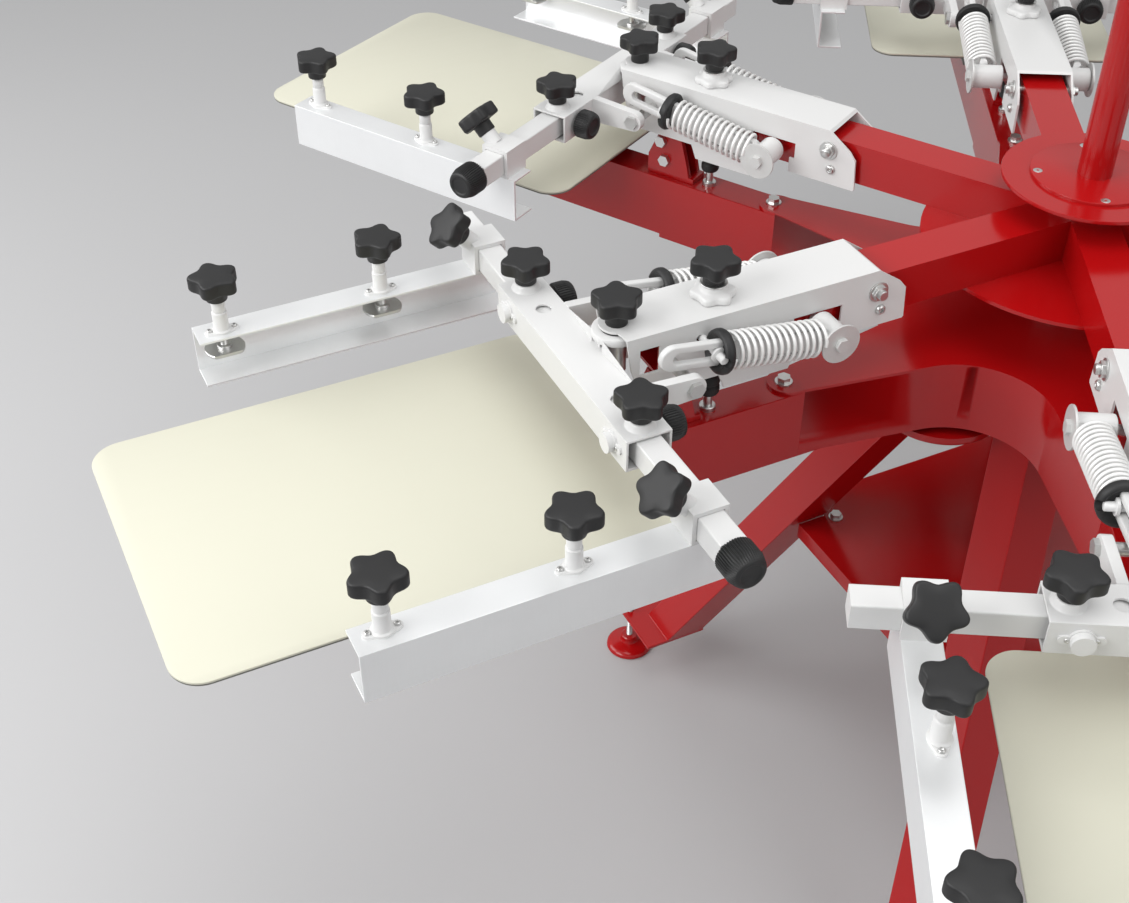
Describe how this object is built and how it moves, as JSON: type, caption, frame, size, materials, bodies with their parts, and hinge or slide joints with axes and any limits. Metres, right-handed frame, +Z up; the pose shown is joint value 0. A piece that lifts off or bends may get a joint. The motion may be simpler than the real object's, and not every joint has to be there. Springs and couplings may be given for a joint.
{
  "type": "carousel screen printing press",
  "caption": "Manual carousel press for screen printing: spring-lifted print heads on a star of arms over pallets on a second star, on a splayed leg stand.",
  "frame": {"origin": "on the floor under the axis that both carousels turn on", "axes": "+Z up, +X along head 1, +Y to the left of head 1 when it is seen from the hub"},
  "size_m": [2.464, 2.3074, 1.3695],
  "materials": {
    "red_paint": "glossy powder coat",
    "zinc_steel": "zinc plated",
    "black_rubber": "matt",
    "cream_laminate": "satin laminate",
    "dark_steel": "satin",
    "holder_aluminium": "satin anodised",
    "white_paint": "glossy powder coat",
    "spring_steel": "nickel plated",
    "black_plastic": "satin"
  },
  "bodies": {
    "stand": {"legs": "red_paint", "stand_top": "red_paint", "shelf_plate": "red_paint", "shelf_bolts": "zinc_steel", "leveling_feet": "red_paint", "index_unit": "red_paint", "centre_shaft": "zinc_steel", "centre_post": "red_paint"},
    "pallet_carousel": {"star_plate": "red_paint", "lower_arms": "red_paint", "lower_hub": "red_paint", "carousel_bolts": "zinc_steel", "registration_gates": "red_paint", "gate_rollers": "zinc_steel", "stop_bumpers": "black_rubber", "pallets": "cream_laminate", "pallet_brackets": "dark_steel"},
    "head_carousel": {"upper_arms": "red_paint", "hub_disc": "red_paint", "hub_cap": "red_paint", "spring_anchors": "zinc_steel"},
    "lift_1": {"head_1_cover": "white_paint", "head_1_fittings": "zinc_steel", "head_1_sleeve": "white_paint"},
    "guides_1": {"head_1_guides": "white_paint"},
    "collars_1": {"head_1_collars": "black_plastic", "head_1_springs": "spring_steel"},
    "bar_1": {"head_1_bar": "white_paint"},
    "lift_2": {"head_2_frame": "white_paint"},
    "guides_2": {"head_2_guides": "white_paint"},
    "collars_2": {"head_2_springs": "spring_steel"},
    "lift_3": {"head_3_frame": "white_paint"},
    "guides_3": {"head_3_guides": "white_paint"},
    "collars_3": {"head_3_springs": "spring_steel"},
    "lift_4": {"head_4_frame": "white_paint"},
    "guides_4": {"head_4_guides": "white_paint"},
    "collars_4": {"head_4_springs": "spring_steel"},
    "lift_5": {"head_5_frame": "white_paint"},
    "guides_5": {"head_5_guides": "white_paint"},
    "collars_5": {"head_5_springs": "spring_steel"},
    "lift_6": {"head_6_frame": "white_paint"},
    "guides_6": {"head_6_guides": "white_paint"},
    "collars_6": {"head_6_springs": "spring_steel"},
    "bar_knob": {"head_1_bar_knob": "black_plastic"},
    "front_knob": {"head_1_front_knob": "black_plastic"},
    "top_knob": {"head_1_top_knob": "black_plastic"},
    "back_knob_left": {"head_1_back_knob_left": "black_plastic"},
    "sleeve_knob_left": {"head_1_sleeve_knob_left": "black_plastic"},
    "clamp_left": {"head_1_clamp_left": "white_paint", "head_1_holder_left": "holder_aluminium"},
    "clamp_knob_left": {"head_1_clamp_knob_left": "black_plastic"},
    "screw_left_inner": {"head_1_screw_left_inner": "black_plastic"},
    "screw_left_outer": {"head_1_screw_left_outer": "black_plastic"},
    "back_knob_right": {"head_1_back_knob_right": "black_plastic"},
    "sleeve_knob_right": {"head_1_sleeve_knob_right": "black_plastic"},
    "clamp_right": {"head_1_clamp_right": "white_paint", "head_1_holder_right": "holder_aluminium"},
    "clamp_knob_right": {"head_1_clamp_knob_right": "black_plastic"},
    "screw_right_inner": {"head_1_screw_right_inner": "black_plastic"},
    "screw_right_outer": {"head_1_screw_right_outer": "black_plastic"}
  },
  "joints": [
    {"name": "pallet_carousel_turn", "type": "hinge", "parent": "stand", "child": "pallet_carousel", "pos_m": [0, 0, 0.8], "axis": [0, 0, 1], "continuous": true},
    {"name": "head_carousel_turn", "type": "hinge", "parent": "stand", "child": "head_carousel", "pos_m": [0, 0, 0.97], "axis": [0, 0, 1], "continuous": true},
    {"name": "head_1_lift", "type": "hinge", "parent": "head_carousel", "child": "lift_1", "pos_m": [0.34, 0, 0.9874], "axis": [0, -1, 0], "range_deg": [0, 25]},
    {"name": "head_1_guide_swing", "type": "hinge", "parent": "head_carousel", "child": "guides_1", "pos_m": [0.4213, 0, 0.9679], "axis": [0, -1, 0], "range_deg": [0, 35]},
    {"name": "head_1_collar_slide", "type": "slide", "parent": "guides_1", "child": "collars_1", "axis": [0.9877, 0, 0.1564], "range_m": [0, 0.021], "deforming": ["head_1_springs"]},
    {"name": "head_2_lift", "type": "hinge", "parent": "head_carousel", "child": "lift_2", "pos_m": [0.17, 0.29445, 0.9874], "axis": [0.866, -0.5, 0], "range_deg": [0, 25]},
    {"name": "head_2_guide_swing", "type": "hinge", "parent": "head_carousel", "child": "guides_2", "pos_m": [0.21065, 0.36486, 0.9679], "axis": [0.866, -0.5, 0], "range_deg": [0, 35]},
    {"name": "head_2_collar_slide", "type": "slide", "parent": "guides_2", "child": "collars_2", "axis": [0.4938, 0.8554, 0.1564], "range_m": [0, 0.021], "deforming": ["head_2_springs"]},
    {"name": "head_3_lift", "type": "hinge", "parent": "head_carousel", "child": "lift_3", "pos_m": [-0.17, 0.29445, 0.9874], "axis": [0.866, 0.5, 0], "range_deg": [0, 25]},
    {"name": "head_3_guide_swing", "type": "hinge", "parent": "head_carousel", "child": "guides_3", "pos_m": [-0.21065, 0.36486, 0.9679], "axis": [0.866, 0.5, 0], "range_deg": [0, 35]},
    {"name": "head_3_collar_slide", "type": "slide", "parent": "guides_3", "child": "collars_3", "axis": [-0.4938, 0.8554, 0.1564], "range_m": [0, 0.021], "deforming": ["head_3_springs"]},
    {"name": "head_4_lift", "type": "hinge", "parent": "head_carousel", "child": "lift_4", "pos_m": [-0.34, 0, 0.9874], "axis": [0, 1, 0], "range_deg": [0, 25]},
    {"name": "head_4_guide_swing", "type": "hinge", "parent": "head_carousel", "child": "guides_4", "pos_m": [-0.4213, 0, 0.9679], "axis": [0, 1, 0], "range_deg": [0, 35]},
    {"name": "head_4_collar_slide", "type": "slide", "parent": "guides_4", "child": "collars_4", "axis": [-0.9877, 0, 0.1564], "range_m": [0, 0.021], "deforming": ["head_4_springs"]},
    {"name": "head_5_lift", "type": "hinge", "parent": "head_carousel", "child": "lift_5", "pos_m": [-0.17, -0.29445, 0.9874], "axis": [-0.866, 0.5, 0], "range_deg": [0, 25]},
    {"name": "head_5_guide_swing", "type": "hinge", "parent": "head_carousel", "child": "guides_5", "pos_m": [-0.21065, -0.36486, 0.9679], "axis": [-0.866, 0.5, 0], "range_deg": [0, 35]},
    {"name": "head_5_collar_slide", "type": "slide", "parent": "guides_5", "child": "collars_5", "axis": [-0.4938, -0.8554, 0.1564], "range_m": [0, 0.021], "deforming": ["head_5_springs"]},
    {"name": "head_6_lift", "type": "hinge", "parent": "head_carousel", "child": "lift_6", "pos_m": [0.17, -0.29445, 0.9874], "axis": [-0.866, -0.5, 0], "range_deg": [0, 25]},
    {"name": "head_6_guide_swing", "type": "hinge", "parent": "head_carousel", "child": "guides_6", "pos_m": [0.21065, -0.36486, 0.9679], "axis": [-0.866, -0.5, 0], "range_deg": [0, 35]},
    {"name": "head_6_collar_slide", "type": "slide", "parent": "guides_6", "child": "collars_6", "axis": [0.4938, -0.8554, 0.1564], "range_m": [0, 0.021], "deforming": ["head_6_springs"]},
    {"name": "bar_shift", "type": "slide", "parent": "lift_1", "child": "bar_1", "axis": [0, 1, 0], "range_m": [-0.01, 0.01]},
    {"name": "bar_knob_spin", "type": "hinge", "parent": "bar_1", "child": "bar_knob", "pos_m": [0.71, 0.36, 0.97], "axis": [0, 1, 0], "continuous": true},
    {"name": "front_knob_spin", "type": "hinge", "parent": "lift_1", "child": "front_knob", "pos_m": [0.665, 0, 1.035], "axis": [0, 0, 1], "continuous": true},
    {"name": "top_knob_spin", "type": "hinge", "parent": "lift_1", "child": "top_knob", "pos_m": [0.5425, 0, 1.055], "axis": [0, 0, 1], "continuous": true},
    {"name": "back_knob_left_spin", "type": "hinge", "parent": "lift_1", "child": "back_knob_left", "pos_m": [0.667, 0.133, 0.97], "axis": [1, 0, 0], "continuous": true},
    {"name": "sleeve_knob_left_spin", "type": "hinge", "parent": "lift_1", "child": "sleeve_knob_left", "pos_m": [0.71, 0.144, 1.01], "axis": [0, 0, 1], "continuous": true},
    {"name": "clamp_left_slide", "type": "slide", "parent": "bar_1", "child": "clamp_left", "axis": [0, 1, 0], "range_m": [-0.07, 0.03]},
    {"name": "clamp_knob_left_spin", "type": "hinge", "parent": "clamp_left", "child": "clamp_knob_left", "pos_m": [0.75, 0.2715, 1.01], "axis": [0.7071, 0, 0.7071], "continuous": true},
    {"name": "screw_left_inner_down", "type": "slide", "parent": "clamp_left", "child": "screw_left_inner", "axis": [0, 0, -1], "range_m": [-0.014, 0.0025]},
    {"name": "screw_left_outer_down", "type": "slide", "parent": "clamp_left", "child": "screw_left_outer", "axis": [0, 0, -1], "range_m": [-0.014, 0.0025]},
    {"name": "back_knob_right_spin", "type": "hinge", "parent": "lift_1", "child": "back_knob_right", "pos_m": [0.667, -0.133, 0.97], "axis": [1, 0, 0], "continuous": true},
    {"name": "sleeve_knob_right_spin", "type": "hinge", "parent": "lift_1", "child": "sleeve_knob_right", "pos_m": [0.71, -0.144, 1.01], "axis": [0, 0, 1], "continuous": true},
    {"name": "clamp_right_slide", "type": "slide", "parent": "bar_1", "child": "clamp_right", "axis": [0, -1, 0], "range_m": [-0.07, 0.03]},
    {"name": "clamp_knob_right_spin", "type": "hinge", "parent": "clamp_right", "child": "clamp_knob_right", "pos_m": [0.75, -0.2715, 1.01], "axis": [0.7071, 0, 0.7071], "continuous": true},
    {"name": "screw_right_inner_down", "type": "slide", "parent": "clamp_right", "child": "screw_right_inner", "axis": [0, 0, -1], "range_m": [-0.014, 0.0025]},
    {"name": "screw_right_outer_down", "type": "slide", "parent": "clamp_right", "child": "screw_right_outer", "axis": [0, 0, -1], "range_m": [-0.014, 0.0025]}
  ],
  "couplings": [
    {"joint": "head_1_guide_swing", "follows": "head_1_lift", "ratio": 1.39},
    {"joint": "head_1_collar_slide", "follows": "head_1_lift", "m_per_rad": 0.047},
    {"joint": "head_2_guide_swing", "follows": "head_2_lift", "ratio": 1.39},
    {"joint": "head_2_collar_slide", "follows": "head_2_lift", "m_per_rad": 0.047},
    {"joint": "head_3_guide_swing", "follows": "head_3_lift", "ratio": 1.39},
    {"joint": "head_3_collar_slide", "follows": "head_3_lift", "m_per_rad": 0.047},
    {"joint": "head_4_guide_swing", "follows": "head_4_lift", "ratio": 1.39},
    {"joint": "head_4_collar_slide", "follows": "head_4_lift", "m_per_rad": 0.047},
    {"joint": "head_5_guide_swing", "follows": "head_5_lift", "ratio": 1.39},
    {"joint": "head_5_collar_slide", "follows": "head_5_lift", "m_per_rad": 0.047},
    {"joint": "head_6_guide_swing", "follows": "head_6_lift", "ratio": 1.39},
    {"joint": "head_6_collar_slide", "follows": "head_6_lift", "m_per_rad": 0.047}
  ]
}
